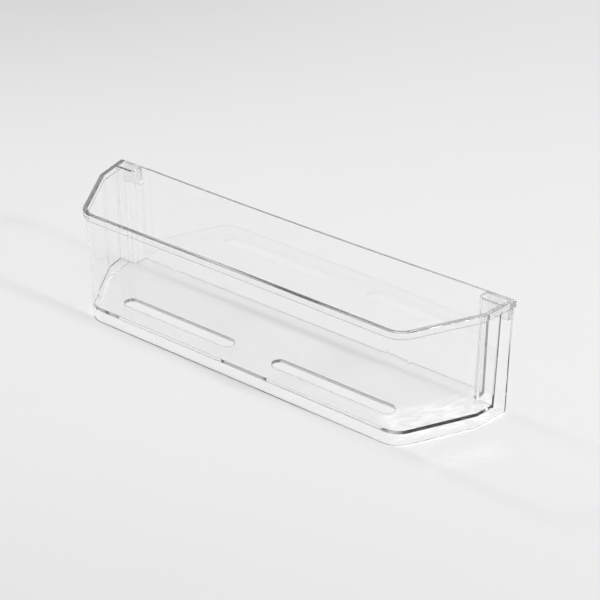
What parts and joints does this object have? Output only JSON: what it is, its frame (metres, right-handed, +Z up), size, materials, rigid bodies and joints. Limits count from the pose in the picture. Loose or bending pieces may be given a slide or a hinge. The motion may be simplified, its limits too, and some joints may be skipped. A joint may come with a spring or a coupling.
{
  "type": "fridge door shelf",
  "caption": "Long clear plastic bin with angled ends, a raised slotted floor and a hanging channel in each back corner, for bottles and jars in a fridge door.",
  "frame": {"origin": "middle of the foot, at the centre of the overall length and depth", "axes": "+X along the shelf, +Y to the fridge door, +Z up"},
  "size_m": [0.45, 0.1072, 0.1146],
  "materials": {
    "clear_plastic": "clear, glossy"
  },
  "bodies": {
    "root": {"door_shelf": "clear_plastic"}
  },
  "joints": []
}
